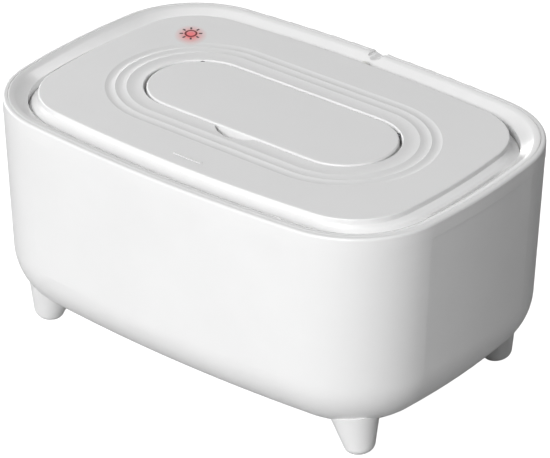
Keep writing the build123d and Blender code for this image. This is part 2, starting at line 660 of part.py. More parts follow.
def make_insulation_pad():
    pad = rounded_plate(-PAD_INSET, FILM_TOP, BASE_FLOOR_BOTTOM)
    pad = pad - slot_tube(PAD_INSET, FILM_TOP - 1, BASE_FLOOR_BOTTOM + 1)
    for x, y in plate_screw_points():
        pad = pad - rod(x, y, FILM_TOP - 1, BASE_FLOOR_BOTTOM + 1, BOSS_RADIUS + SLIP)
    for x, y, length, width in (FUSE, SENSOR):
        pocket = Box(length + 2 * POCKET_GAP, width + 2 * POCKET_GAP, 2 * PLATE_DROP)
        pad = pad - Pos(x, y, FILM_TOP) * pocket
    return whole(pad)


def make_thermal_fuse():
    x, y, length, width = FUSE
    return rod_x(x, y, FILM_TOP + width / 2, length, width / 2)


def make_temperature_sensor():
    x, y, length, width = SENSOR
    return Pos(x, y, FILM_TOP + SENSOR_HEIGHT / 2) * Box(length, width, SENSOR_HEIGHT)


def make_plate_screws():
    screws = []
    for x, y in plate_screw_points():
        bottom = PLATE_BOTTOM - SCREW_HEAD_HEIGHT
        screws.append(screw(x, y, bottom, BASE_FLOOR_TOP, SCREW_RADIUS, SCREW_HEAD_RADIUS, SCREW_HEAD_HEIGHT))
    return Compound(screws)


def on_board(piece):
    """Block part of the board: offsets from the board's middle, then its three sizes."""
    x, y, length, width, height = piece
    middle_x = (BOARD_X[0] + BOARD_X[1]) / 2
    middle_y = (BOARD_Y[0] + BOARD_Y[1]) / 2
    return Pos(middle_x + x, middle_y + y, BOARD_TOP + height / 2) * Box(length, width, height)


def make_control_board():
    board = on_board((0, 0, BOARD_X[1] - BOARD_X[0], BOARD_Y[1] - BOARD_Y[0], BOARD_THICKNESS))
    board = Pos(0, 0, -BOARD_THICKNESS) * board + on_board(CHIP) + on_board(RELAY)
    x, y, radius, height = CAPACITOR
    can = on_board((x, y, 2 * radius, 2 * radius, height)).center()
    board = board + rod(can.X, can.Y, BOARD_TOP, BOARD_TOP + height, radius)
    for x, y in board_posts():
        board = board - rod(x, y, BOARD_BOTTOM - 1, BOARD_TOP + 1, BOARD_PIN_RADIUS + SLIP / 2)
    return whole(board)


def make_indicator_led():
    x, y = INDICATOR
    body = rod(x, y, BOARD_TOP, BOARD_TOP + LED_HEIGHT, LED_RADIUS)
    return fillet(edges_at(body, BOARD_TOP + LED_HEIGHT), LED_RADIUS * 0.8)


def make_light_guide():
    x, y = INDICATOR
    head_top = LID_TOP - GUIDE_SKIN
    head_bottom = head_top - GUIDE_HEAD
    head = rod(x, y, head_bottom, head_top, GUIDE_RADIUS)
    stem = rod(x, y, BOARD_TOP + LED_HEIGHT + LED_GAP, head_bottom, GUIDE_STEM_RADIUS)
    return head + stem


def make_cord_gland():
    body = Cylinder(GLAND_RADIUS, GLAND_LENGTH) - Cylinder(GLAND_BORE, GLAND_LENGTH + 2)
    return whole(gland_axis() * Pos(0, 0, GLAND_LENGTH / 2) * body)


def make_dispensing_orifice():
    length, width, thickness = ORIFICE_FLANGE
    plate = stadium(length, width, BASE_FLOOR_TOP, BASE_FLOOR_TOP + thickness)
    plug = stadium(SLOT_SIZE[0] - SLIP, SLOT_SIZE[1] - SLIP, BASE_FLOOR_BOTTOM, BASE_FLOOR_TOP)
    slit = stadium(*ORIFICE_SLIT, BASE_FLOOR_BOTTOM - 1, BASE_FLOOR_TOP + thickness + 1)
    return whole(plate + plug - slit)


def make_flap():
    flap = flap_ring(0, FLAP_SKIRT_BOTTOM, LID_TOP)
    flap = fillet(edges_at(flap, LID_TOP), FLAP_EDGE)
    flap = flap - flap_ring(-FLAP_SKIRT_WALL, FLAP_SKIRT_BOTTOM - 1, FLAP_BOTTOM)
    for side in (-1, 1):
        barrel = rod_x(side * HINGE_BARREL_X, PIVOT_Y, PIVOT_Z, HINGE_BARREL_LENGTH, HINGE_BARREL_RADIUS)
        flap = flap + (barrel & flap_ring(0, FLAP_SKIRT_BOTTOM, FLAP_BOTTOM + FLAP_EDGE))
    for x in hinge_pin_centres():
        flap = flap - rod_x(x, PIVOT_Y, PIVOT_Z, HINGE_PIN_LENGTH, HINGE_PIN_RADIUS)
    return whole(flap)


def hinge_pin_centres():
    middle = hinge_wall_x() + HINGE_SOCKET - 1 - HINGE_END_GAP - HINGE_PIN_LENGTH / 2
    return [side * middle for side in (-1, 1)]


def make_hinge_pins():
    pins = [rod_x(x, PIVOT_Y, PIVOT_Z, HINGE_PIN_LENGTH, HINGE_PIN_RADIUS) for x in hinge_pin_centres()]
    return Compound(pins)


# ---------------------------------------------------------------- nodes
FOOT_NAMES = {(-1, -1): "front_left_foot", (1, -1): "front_right_foot",
              (-1, 1): "rear_left_foot", (1, 1): "rear_right_foot"}

NODES = {
    "outer_tub": make_outer_tub,
    "inner_tub": make_inner_tub,
    "foot_screws": make_foot_screws,
    "foot_plugs": make_foot_plugs,
    "lid_cover": make_lid_cover,
    "lid_base": make_lid_base,
    "dispensing_pan": make_dispensing_pan,
    "lid_gasket": make_lid_gasket,
    "lid_screws": make_lid_screws,
    "heater_plate": make_heater_plate,
    "heater_film": make_heater_film,
    "insulation_pad": make_insulation_pad,
    "thermal_fuse": make_thermal_fuse,
    "temperature_sensor": make_temperature_sensor,
    "plate_screws": make_plate_screws,
    "control_board": make_control_board,
    "indicator_led": make_indicator_led,
    "light_guide": make_light_guide,
    "cord_gland": make_cord_gland,
    "dispensing_orifice": make_dispensing_orifice,
    "dispensing_flap": make_flap,
    "flap_hinge_pins": make_hinge_pins,
}

os.makedirs("parts", exist_ok=True)
for name, make in NODES.items():
    export_step(make(), f"parts/{name}.step")
for (side_x, side_y), name in FOOT_NAMES.items():
    export_step(make_foot(side_x, side_y), f"parts/{name}.step")
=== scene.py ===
import bmesh
import bpy
import math
from mathutils import Matrix, Vector


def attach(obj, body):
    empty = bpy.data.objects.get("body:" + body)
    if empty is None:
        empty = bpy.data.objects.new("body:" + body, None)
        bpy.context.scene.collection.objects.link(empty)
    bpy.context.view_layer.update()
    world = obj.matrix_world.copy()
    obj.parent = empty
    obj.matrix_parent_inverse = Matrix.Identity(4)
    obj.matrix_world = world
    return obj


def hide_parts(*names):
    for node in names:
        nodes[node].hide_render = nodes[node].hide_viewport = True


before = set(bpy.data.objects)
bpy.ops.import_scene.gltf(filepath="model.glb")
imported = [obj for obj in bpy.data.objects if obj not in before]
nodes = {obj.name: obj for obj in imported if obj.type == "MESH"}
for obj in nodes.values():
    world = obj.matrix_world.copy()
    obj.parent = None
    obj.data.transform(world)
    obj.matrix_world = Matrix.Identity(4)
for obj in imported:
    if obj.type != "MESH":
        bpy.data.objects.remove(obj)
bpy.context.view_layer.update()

MM = 0.001
scene = bpy.context.scene


# ---------------------------------------------------------------- small tools
def linear(hex_colour):
    """Linear RGBA of an sRGB hex value such as F2F2F0."""
    values = [int(hex_colour[i:i + 2], 16) / 255 for i in (0, 2, 4)]
    values = [v / 12.92 if v <= 0.04045 else ((v + 0.055) / 1.055) ** 2.4 for v in values]
    return (*values, 1.0)


def add(tree, kind, inputs=None, links=None, stops=None, **settings):
    """Adds a node with its settings, socket values and links, and a ramp's stops (place, hex)."""
    node = tree.nodes.new(kind)
    for name, value in settings.items():
        setattr(node, name, value)
    for name, value in (inputs or {}).items():
        node.inputs[name].default_value = value
    for name, socket in (links or {}).items():
        tree.links.new(socket, node.inputs[name])
    if stops:
        elements = node.color_ramp.elements
        while len(elements) < len(stops):
            elements.new(0.5)
        for element, (place, colour) in zip(elements, stops):
            element.position = place
            element.color = linear(colour)
    return node


def new_material(name):
    """An empty material, with its node tree and its object coordinates."""
    material = bpy.data.materials.new(name)
    material.use_nodes = True
    tree = material.node_tree
    tree.nodes.clear()
    place = add(tree, "ShaderNodeTexCoord").outputs["Object"]
    return material, tree, place


def two_tones(low, high):
    """Stops that spread two close tones over the middle of a noise, where most of it lies."""
    return [(0.3, low), (0.7, high)]


# ---------------------------------------------------------------- white ABS
ABS_IOR = 1.52
CLOUD_MM = 38     # how far the tone drifts across a moulding
RIPPLE_MM = 22    # how far apart the shallow waves of cooling lie
RIPPLE_STRENGTH = 0.3
GRAIN_STRENGTH = 0.6
ABS_GLOSS_PLAY = 0.04


def moulded_abs(name, low, high, rough, grain_mm, grain_depth_mm, ripple_depth_mm=0.02):
    """Moulded ABS: nearly one tone, shallow waves from cooling, and the grain of the tool."""
    material, tree, place = new_material(name)
    cloud = add(tree, "ShaderNodeTexNoise", {"Scale": 1 / (CLOUD_MM * MM), "Detail": 3.0},
                {"Vector": place})
    ripple = add(tree, "ShaderNodeTexNoise", {"Scale": 1 / (RIPPLE_MM * MM), "Detail": 1.0},
                 {"Vector": place})
    grain = add(tree, "ShaderNodeTexNoise", {"Scale": 1 / (grain_mm * MM), "Detail": 2.0},
                {"Vector": place})
    tone = add(tree, "ShaderNodeValToRGB", links={"Fac": cloud.outputs["Fac"]},
               stops=two_tones(low, high))
    gloss = add(tree, "ShaderNodeMapRange",
                {"To Min": rough - ABS_GLOSS_PLAY, "To Max": rough + ABS_GLOSS_PLAY},
                {"Value": grain.outputs["Fac"]})
    waved = add(tree, "ShaderNodeBump",
                {"Strength": RIPPLE_STRENGTH, "Distance": ripple_depth_mm * MM},
                {"Height": ripple.outputs["Fac"]})
    grained = add(tree, "ShaderNodeBump",
                  {"Strength": GRAIN_STRENGTH, "Distance": grain_depth_mm * MM},
                  {"Height": grain.outputs["Fac"], "Normal": waved.outputs["Normal"]})
    shader = add(tree, "ShaderNodeBsdfPrincipled", {"IOR": ABS_IOR},
                 {"Base Color": tone.outputs["Color"], "Roughness": gloss.outputs["Result"],
                  "Normal": grained.outputs["Normal"]})
    add(tree, "ShaderNodeOutputMaterial", links={"Surface": shader.outputs["BSDF"]})
    return material


# Moulded in a polished tool: a clean white with soft-edged reflections and faint waves where
# the wall cooled. The tool's own marks are too fine to show; a trace is drawn at 0.9 mm.
tub_abs = moulded_abs("moulded_abs_gloss_white", "EDEDED", "F0F0F0", rough=0.30,
                      grain_mm=0.9, grain_depth_mm=0.002)
# The liner's tool is polished further: the clearest reflections, without waves or grain, which
# draw the bright lines along its rolled rim and in the valley.
liner_abs = moulded_abs("moulded_abs_gloss_liner", "EEEEEE", "F1F1F1", rough=0.22,
                        grain_mm=0.9, grain_depth_mm=0.0, ripple_depth_mm=0.0)
# Moulded in a spark-eroded tool: an even satin that spreads highlights. The real grain is
# under 0.1 mm and is drawn at 0.55 mm, or it wouldn't show.
lid_abs = moulded_abs("spark_eroded_abs_white", "EEEEEE", "F0F0F0", rough=0.40,
                      grain_mm=0.55, grain_depth_mm=0.006)
# The flap has the lid's satin in a material of its own, because only the lid's gets the painted
# glow.
flap_abs = lid_abs.copy()
flap_abs.name = "spark_eroded_abs_flap"
# The tray comes from a plain, unpolished tool: a duller and slightly warmer white.
tray_abs = moulded_abs("moulded_abs_satin_tray", "E4E4E2", "EAEAE8", rough=0.42,
                       grain_mm=0.7, grain_depth_mm=0.008)


# ---------------------------------------------------------------- rubber, foam, resin and film
POLYMER_IOR = 1.45
POLYMER_GLOSS_PLAY = 0.06


def small_part_polymer(name, low, high, rough, grain_mm, grain_depth_mm, more=None):
    """Rubber, silicone, foam, resin, film or lacquer: two close tones and an uneven skin."""
    material, tree, place = new_material(name)
    grain = add(tree, "ShaderNodeTexNoise", {"Scale": 1 / (grain_mm * MM), "Detail": 3.0},
                {"Vector": place})
    tone = add(tree, "ShaderNodeValToRGB", links={"Fac": grain.outputs["Fac"]},
               stops=two_tones(low, high))
    gloss = add(tree, "ShaderNodeMapRange",
                {"To Min": rough - POLYMER_GLOSS_PLAY, "To Max": rough + POLYMER_GLOSS_PLAY},
                {"Value": grain.outputs["Fac"]})
    pitted = add(tree, "ShaderNodeBump", {"Strength": 0.7, "Distance": grain_depth_mm * MM},
                 {"Height": grain.outputs["Fac"]})
    shader = add(tree, "ShaderNodeBsdfPrincipled", {"IOR": POLYMER_IOR, **(more or {})},
                 {"Base Color": tone.outputs["Color"], "Roughness": gloss.outputs["Result"],
                  "Normal": pitted.outputs["Normal"]})
    add(tree, "ShaderNodeOutputMaterial", links={"Surface": shader.outputs["BSDF"]})
    return material


# Compression-moulded silicone: milky, with a little light inside it that softens its edges.
silicone = small_part_polymer("moulded_silicone_white", "DADAD6", "E2E2DE", rough=0.45,
                              grain_mm=1.2, grain_depth_mm=0.01,
                              more={"Subsurface Weight": 0.15, "Subsurface Scale": 1.5 * MM})
# Moulded thermoplastic rubber: a matt, greyer white, whose fine pits break up reflections.
soft_rubber = small_part_polymer("moulded_tpe_off_white", "CFCFCB", "D9D9D5", rough=0.62,
                                 grain_mm=0.5, grain_depth_mm=0.02)
# Foam cut from a sheet: dull grey, and rough with cells of about 0.8 mm that the knife opened.
grey_foam = small_part_polymer("closed_cell_foam_grey", "77777A", "929296", rough=0.92,
                               grain_mm=0.8, grain_depth_mm=0.12)
# A cast drop of epoxy: smooth black with a soft highlight.
black_epoxy = small_part_polymer("cast_epoxy_black", "141416", "1E1E21", rough=0.35,
                                 grain_mm=1.0, grain_depth_mm=0.01)
# Epoxy cast in a polished mould: the deep, glossy red of an indicator's lens.
red_epoxy = small_part_polymer("cast_epoxy_red", "B41E1A", "D02A22", rough=0.18,
                               grain_mm=1.5, grain_depth_mm=0.004)
# Cast polyimide film: glossy amber, whose tone drifts a little from place to place.
amber_film = small_part_polymer("polyimide_film_amber", "B0671C", "C97E28", rough=0.30,
                                grain_mm=2.5, grain_depth_mm=0.004)
# Solder mask, a cured lacquer over glass cloth: half-gloss green with a slightly uneven skin.
green_board = small_part_polymer("solder_mask_green", "0C4A26", "14623A", rough=0.34,
                                 grain_mm=1.4, grain_depth_mm=0.006)


# ---------------------------------------------------------------- metal
METAL_GLOSS_PLAY = 0.07
METAL_GRAIN_DEPTH_MM = 0.01


def bare_metal(name, low, high, rough, grain_mm, stretch=(1.0, 1.0, 1.0)):
    """Bare or plated metal; a stretch under 1 draws its grain out into lines along that axis."""
    material, tree, place = new_material(name)
    lined = add(tree, "ShaderNodeMapping", {"Scale": stretch}, {"Vector": place})
    grain = add(tree, "ShaderNodeTexNoise", {"Scale": 1 / (grain_mm * MM), "Detail": 2.0},
                {"Vector": lined.outputs["Vector"]})
    tone = add(tree, "ShaderNodeValToRGB", links={"Fac": grain.outputs["Fac"]},
               stops=two_tones(low, high))
    gloss = add(tree, "ShaderNodeMapRange",
                {"To Min": rough - METAL_GLOSS_PLAY, "To Max": rough + METAL_GLOSS_PLAY},
                {"Value": grain.outputs["Fac"]})
    worked = add(tree, "ShaderNodeBump",
                 {"Strength": 0.4, "Distance": METAL_GRAIN_DEPTH_MM * MM},
                 {"Height": grain.outputs["Fac"]})
    shader = add(tree, "ShaderNodeBsdfPrincipled", {"Metallic": 1.0},
                 {"Base Color": tone.outputs["Color"], "Roughness": gloss.outputs["Result"],
                  "Normal": worked.outputs["Normal"]})
    add(tree, "ShaderNodeOutputMaterial", links={"Surface": shader.outputs["BSDF"]})
    return material


# Barrel-plated zinc: a cool grey, dull mirror with a spotty grain and no direction.
zinc_steel = bare_metal("zinc_plated_steel", "B9BBC0", "CFD1D5", rough=0.34, grain_mm=0.5)
# Ground between wheels: a bright pin with fine lines along it.
ground_steel = bare_metal("ground_stainless_steel", "BFC1C4", "D6D7D9", rough=0.24,
                          grain_mm=0.3, stretch=(0.1, 1.0, 1.0))
# Rolled sheet: pale grey, with long lines along the plate. The real ones are under 0.1 mm
# apart and are drawn 0.4 mm apart, or they wouldn't show.
rolled_aluminium = bare_metal("rolled_aluminium_sheet", "C9CACC", "DEDFE1", rough=0.33,
                              grain_mm=0.4, stretch=(0.04, 1.0, 1.0))
# Pressed and tinned: a soft, slightly milky mirror.
tinned_can = bare_metal("tinned_fuse_can", "B4B4B4", "CDCDCD", rough=0.28, grain_mm=0.4)


# ---------------------------------------------------------------- light guide and ink
ACRYLIC_IOR = 1.49
ACRYLIC_GRAIN_MM = 2
INK_GRAIN_MM = 0.6


def polished_acrylic():
    """Cast acrylic with polished ends: clear, with a few duller patches from the polishing."""
    material, tree, place = new_material("polished_acrylic_clear")
    grain = add(tree, "ShaderNodeTexNoise", {"Scale": 1 / (ACRYLIC_GRAIN_MM * MM)},
                {"Vector": place})
    gloss = add(tree, "ShaderNodeMapRange", {"To Min": 0.03, "To Max": 0.10},
                {"Value": grain.outputs["Fac"]})
    shader = add(tree, "ShaderNodeBsdfPrincipled",
                 {"Base Color": linear("F4F6F6"), "IOR": ACRYLIC_IOR, "Transmission Weight": 0.9},
                 {"Roughness": gloss.outputs["Result"]})
    add(tree, "ShaderNodeOutputMaterial", links={"Surface": shader.outputs["BSDF"]})
    return material


def symbol_ink(name, low, high):
    """Pad-printed ink: half-matt, with two close tones where the pad left it thick and thin."""
    material, tree, place = new_material(name)
    grain = add(tree, "ShaderNodeTexNoise", {"Scale": 1 / (INK_GRAIN_MM * MM), "Detail": 2.0},
                {"Vector": place})
    tone = add(tree, "ShaderNodeValToRGB", links={"Fac": grain.outputs["Fac"]},
               stops=two_tones(low, high))
    shader = add(tree, "ShaderNodeBsdfPrincipled", {"Roughness": 0.5},
                 {"Base Color": tone.outputs["Color"]})
    add(tree, "ShaderNodeOutputMaterial", links={"Surface": shader.outputs["BSDF"]})
    return material


# Painted backlight: the ring is the ink painted a deep red, as the light behind it warms it.
backlit_ring_ink = symbol_ink("pad_printed_ink_painted_backlit_red", "740810", "800C14")
# The rays are the same ink painted darker, as maroon, for the less light that they get.
dimly_backlit_ray_ink = symbol_ink("pad_printed_ink_painted_dim_backlit", "360A10", "400E14")


# ---------------------------------------------------------------- lit symbol
LID_FACE = 114.5 * MM
SYMBOL_AT = Vector((-78.3, 37.5)) * MM
SYMBOL_TURN = math.radians(39.1)
SYMBOL_STRETCH = (0.97, 1.18)
RAYS = 8
RAY_SPAN = (3.70 * MM, 5.40 * MM)
RAY_WIDTH = 0.92 * MM
RING_RADII = (2.18 * MM, 3.10 * MM)
RING_STEPS = 72
INK_LIFT = 0.04 * MM
WELD = 0.001 * MM


def symbol_layout():
    """Geometry Nodes for the printed symbol: a strip bent into a ring, and rays set round it."""
    tree = bpy.data.node_groups.new("warm_symbol_layout", "GeometryNodeTree")
    sockets = tree.interface
    sockets.new_socket(name="Geometry", in_out="INPUT", socket_type="NodeSocketGeometry")
    sockets.new_socket(name="Rays", in_out="INPUT", socket_type="NodeSocketInt")
    for name in ("Ray start", "Ray end", "Ray width", "Ring inside", "Ring outside"):
        sockets.new_socket(name=name, in_out="INPUT", socket_type="NodeSocketFloat")
    sockets.new_socket(name="Geometry", in_out="OUTPUT", socket_type="NodeSocketGeometry")
    size = add(tree, "NodeGroupInput").outputs

    # The strip is 1 long and 1 wide: its length becomes the turn and its width the radius.
    strip = add(tree, "GeometryNodeMeshGrid", {"Vertices X": RING_STEPS + 1, "Vertices Y": 2})
    position = add(tree, "GeometryNodeInputPosition")
    along = add(tree, "ShaderNodeSeparateXYZ", links={0: position.outputs[0]})
    angle = add(tree, "ShaderNodeMath", {1: -2 * math.pi}, {0: along.outputs["X"]},
                operation="MULTIPLY")
    radius = add(tree, "ShaderNodeMapRange", {"From Min": -0.5, "From Max": 0.5},
                 {"Value": along.outputs["Y"], "To Min": size["Ring inside"],
                  "To Max": size["Ring outside"]})
    spoke = add(tree, "ShaderNodeCombineXYZ", links={"X": radius.outputs["Result"]})
    swung = add(tree, "ShaderNodeVectorRotate",
                links={"Vector": spoke.outputs["Vector"], "Angle": angle.outputs[0]},
                rotation_type="Z_AXIS")
    bent = add(tree, "GeometryNodeSetPosition",
               links={"Geometry": strip.outputs["Mesh"], "Position": swung.outputs["Vector"]})
    ring = add(tree, "GeometryNodeMergeByDistance", {"Distance": WELD},
               {"Geometry": bent.outputs["Geometry"]})

    length = add(tree, "ShaderNodeMath", links={0: size["Ray end"], 1: size["Ray start"]},
                 operation="SUBTRACT")
    ends = add(tree, "ShaderNodeMath", links={0: size["Ray end"], 1: size["Ray start"]},
               operation="ADD")
    middle = add(tree, "ShaderNodeMath", {1: 0.5}, {0: ends.outputs[0]}, operation="MULTIPLY")
    out = add(tree, "ShaderNodeCombineXYZ", links={"X": middle.outputs[0]})
    bar = add(tree, "GeometryNodeMeshGrid", {"Vertices X": 2, "Vertices Y": 2},
              {"Size X": length.outputs[0], "Size Y": size["Ray width"]})
    ray = add(tree, "GeometryNodeTransform",
              links={"Geometry": bar.outputs["Mesh"], "Translation": out.outputs["Vector"]})
    share = add(tree, "ShaderNodeMath", {0: 2 * math.pi}, {1: size["Rays"]}, operation="DIVIDE")
    index = add(tree, "GeometryNodeInputIndex")
    bearing = add(tree, "ShaderNodeMath", links={0: index.outputs[0], 1: share.outputs[0]},
                  operation="MULTIPLY")
    heading = add(tree, "ShaderNodeCombineXYZ", links={"Z": bearing.outputs[0]})
    facing_out = add(tree, "FunctionNodeEulerToRotation",
                     links={"Euler": heading.outputs["Vector"]})
    centre = add(tree, "GeometryNodePoints", links={"Count": size["Rays"]})
    rays = add(tree, "GeometryNodeInstanceOnPoints",
               links={"Points": centre.outputs[0], "Instance": ray.outputs["Geometry"],
                      "Rotation": facing_out.outputs["Rotation"]})

    both = add(tree, "GeometryNodeJoinGeometry")
    for piece, ink in ((ring, backlit_ring_ink), (rays, dimly_backlit_ray_ink)):
        laid = add(tree, "GeometryNodeTransform",
                   {"Translation": (*SYMBOL_AT, LID_FACE + INK_LIFT),
                    "Rotation": (0, 0, SYMBOL_TURN), "Scale": (*SYMBOL_STRETCH, 1)},
                   {"Geometry": piece.outputs[0]})
        real = add(tree, "GeometryNodeRealizeInstances",
                   links={"Geometry": laid.outputs["Geometry"]})
        inked = add(tree, "GeometryNodeSetMaterial", {"Material": ink},
                    {"Geometry": real.outputs["Geometry"]})
        tree.links.new(inked.outputs["Geometry"], both.inputs["Geometry"])
    add(tree, "NodeGroupOutput", links={"Geometry": both.outputs["Geometry"]})
    return tree


def warm_symbol():
    """The printed ring and rays over the light guide, as a plain mesh."""
    tree = symbol_layout()
    symbol = bpy.data.objects.new("warm_symbol", bpy.data.meshes.new("warm_symbol_start"))
    scene.collection.objects.link(symbol)
    layout = symbol.modifiers.new("layout", "NODES")
    layout.node_group = tree
    sizes = {"Rays": RAYS, "Ray start": RAY_SPAN[0], "Ray end": RAY_SPAN[1],
             "Ray width": RAY_WIDTH, "Ring inside": RING_RADII[0], "Ring outside": RING_RADII[1]}
    for socket in tree.interface.items_tree:
        if socket.name in sizes:
            layout[socket.identifier] = sizes[socket.name]
    shaped = symbol.evaluated_get(bpy.context.evaluated_depsgraph_get())
    mesh = bpy.data.meshes.new_from_object(shaped)
    symbol.modifiers.clear()
    symbol.data = mesh
    mesh.name = "warm_symbol"
    # The modifier's result starts with an empty slot, which no face uses.
    for slot in reversed(range(len(mesh.materials))):
        if mesh.materials[slot] is None:
            mesh.materials.pop(index=slot)
    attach(symbol, "lid")


# Painted glow in the lid's skin, as a pink tint of its colour and emitted red light, outward from
# the middle of the glow to the end of its reach.
GLOW_AT = SYMBOL_AT + Vector((0.95, -1.3)) * MM
GLOW_REACH = (7.8 * MM, 10.6 * MM, 7.8 * MM)
GLOW_TONES = [(0.0, "FF8288"), (0.28, "FF9094"), (0.36, "FFB6B6"),
              (0.52, "FFCCCC"), (0.74, "FFE8E8"), (1.0, "FFFFFF")]
GLOW_LIGHT = [(0.0, "70161C"), (0.25, "5A1016"), (0.36, "480F12"),
              (0.52, "320C0F"), (0.74, "180607"), (1.0, "000000")]
# Painted shade: the raised bar's sides are painted a little greyer than its top and the lid's
# face.
BAR_HEIGHT = 0.4 * MM
BAR_SIDE_MIDDLE = LID_FACE + BAR_HEIGHT * 0.49
BAR_SIDE_REACH = BAR_HEIGHT * 0.47
BAR_SIDE_SHADE_TONES = [(0.0, "FFFFFF"), (1.0, "D8D8D8")]


def paint_lid_glow_and_bar_shade():
    """Paints a red glow into the lid's skin round the symbol, as a pink tint and emitted light,
    and paints shade on the raised bar's sides.
    """
    tree = lid_abs.node_tree
    shader = next(node for node in tree.nodes if node.type == "BSDF_PRINCIPLED")
    place = next(node for node in tree.nodes if node.type == "TEX_COORD").outputs["Object"]
    plain = shader.inputs["Base Color"].links[0].from_socket
    centred = add(tree, "ShaderNodeMapping",
                  {"Location": (GLOW_AT.x, GLOW_AT.y, LID_FACE), "Rotation": (0, 0, SYMBOL_TURN),
                   "Scale": GLOW_REACH}, {"Vector": place}, vector_type="TEXTURE")
    reach = add(tree, "ShaderNodeVectorMath", links={0: centred.outputs["Vector"]},
                operation="LENGTH").outputs["Value"]
    height = add(tree, "ShaderNodeSeparateXYZ", links={"Vector": place}).outputs["Z"]
    # Painted shade on the bar's sides: a band in height that multiplies the lid's colour greyer.
    side = add(tree, "ShaderNodeMath", {1: BAR_SIDE_MIDDLE, 2: BAR_SIDE_REACH}, {0: height},
               operation="COMPARE")
    bar = add(tree, "ShaderNodeValToRGB", links={"Fac": side.outputs["Value"]}, stops=BAR_SIDE_SHADE_TONES)
    bar_shaded = add(tree, "ShaderNodeMix", {"Factor": 1.0},
                 {"A": plain, "B": bar.outputs["Color"]}, data_type="RGBA",
                 blend_type="MULTIPLY")
    # Painted glow: the lid's colour is tinted pink near the symbol, and red light is painted in as
    # emission.
    glow_tint = add(tree, "ShaderNodeValToRGB", links={"Fac": reach}, stops=GLOW_TONES)
    glow_tinted = add(tree, "ShaderNodeMix", {"Factor": 1.0},
                  {"A": bar_shaded.outputs["Result"], "B": glow_tint.outputs["Color"]},
                  data_type="RGBA", blend_type="MULTIPLY")
    light = add(tree, "ShaderNodeValToRGB", links={"Fac": reach}, stops=GLOW_LIGHT)
    tree.links.new(glow_tinted.outputs["Result"], shader.inputs["Base Color"])
    tree.links.new(light.outputs["Color"], shader.inputs["Emission Color"])
    shader.inputs["Emission Strength"].default_value = 1.0


# ---------------------------------------------------------------- cove round the lid
# Plans with bowed sides: half length, half width, corner radius, long bow and short bow.
FLANGE_PLAN = (107.7 * MM, 69.05 * MM, 39.1 * MM, 744.6 * MM, 329.6 * MM)
FLARE_PLAN = (106.6 * MM, 69.05 * MM, 48 * MM, 745 * MM, 330 * MM)
LEDGE_HEIGHT = 108.6 * MM
COVE_TOP = 110.15 * MM
COVE_FOOT = 106.75 * MM
LEVEL_PLAY = 0.02 * MM
OUTLINE_PLAY = 0.05 * MM


def plan_arcs(plan):
    """Arcs of the short side, the corner and the long side for x and y over 0, and the turns
    between them."""
    half_length, half_width, corner, long_bow, short_bow = plan
    long_centre = Vector((0, half_width - long_bow))
    short_centre = Vector((half_length - short_bow, 0))
    span = short_centre - long_centre
    long_reach = long_bow - corner
    short_reach = short_bow - corner
    along = (long_reach**2 - short_reach**2 + span.length_squared) / (2 * span.length)
    across = math.sqrt(long_reach**2 - along**2)
    unit = span.normalized()
    corner_centre = long_centre + unit * along + Vector((unit.y, -unit.x)) * across
    turns = []
    for centre in (short_centre, long_centre):
        arm = corner_centre - centre
        turns.append(math.atan2(arm.y, arm.x))
    return [(short_centre, short_bow), (corner_centre, corner), (long_centre, long_bow)], turns


def arc_facing(arcs, turns, angle):
    """Centre and radius of the arc that faces along an angle."""
    return arcs[0 if angle < turns[0] else 2 if angle > turns[1] else 1]


def facing(plan, x, y):
    """Angle that a plan's outline faces next to a point, and how far inside it the point is."""
    arcs, turns = plan_arcs(plan)
    from_corner = Vector((x, y)) - arcs[1][0]
    centre, radius = arc_facing(arcs, turns, math.atan2(from_corner.y, from_corner.x))
    arm = Vector((x, y)) - centre
    return math.atan2(arm.y, arm.x), radius - arm.length


def outline_point(plan, angle):
    """Point of a plan's outline that faces along an angle."""
    centre, radius = arc_facing(*plan_arcs(plan), angle)
    return centre + Vector((math.cos(angle), math.sin(angle))) * radius


def cove_normal(x, y):
    """Upward and outward normal of the cove next to a point."""
    angle = facing(FLANGE_PLAN, abs(x), abs(y))[0]
    width = (outline_point(FLANGE_PLAN, angle) - outline_point(FLARE_PLAN, angle)).length
    drop = COVE_TOP - COVE_FOOT
    return Vector((math.copysign(math.cos(angle) * drop, x),
                   math.copysign(math.sin(angle) * drop, y), width)).normalized()


def coved_lid():
    """The lid's cover with the flat ledge round its flare turned into a cove."""
    mesh = nodes["lid_cover"].data.copy()
    mesh.name = "lid_cover_coved"
    ledge = {}
    for vertex in mesh.vertices:
        x, y, z = vertex.co
        if abs(z - LEDGE_HEIGHT) > LEVEL_PLAY:
            continue
        if abs(facing(FLANGE_PLAN, abs(x), abs(y))[1]) < OUTLINE_PLAY:
            ledge[vertex.index] = COVE_FOOT
        elif abs(facing(FLARE_PLAN, abs(x), abs(y))[1]) < OUTLINE_PLAY:
            ledge[vertex.index] = COVE_TOP
    normals = [corner.vector.copy() for corner in mesh.corner_normals]
    for face in mesh.polygons:
        if all(index in ledge for index in face.vertices) and face.normal.z > 0.9:
            for loop in face.loop_indices:
                place = mesh.vertices[mesh.loops[loop].vertex_index].co
                normals[loop] = cove_normal(place.x, place.y)
    for index, height in ledge.items():
        mesh.vertices[index].co.z = height
    mesh.normals_split_custom_set(normals)
    piece = bpy.data.objects.new("lid_cover_coved", mesh)
    scene.collection.objects.link(piece)
    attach(piece, "lid")
    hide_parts("lid_cover")


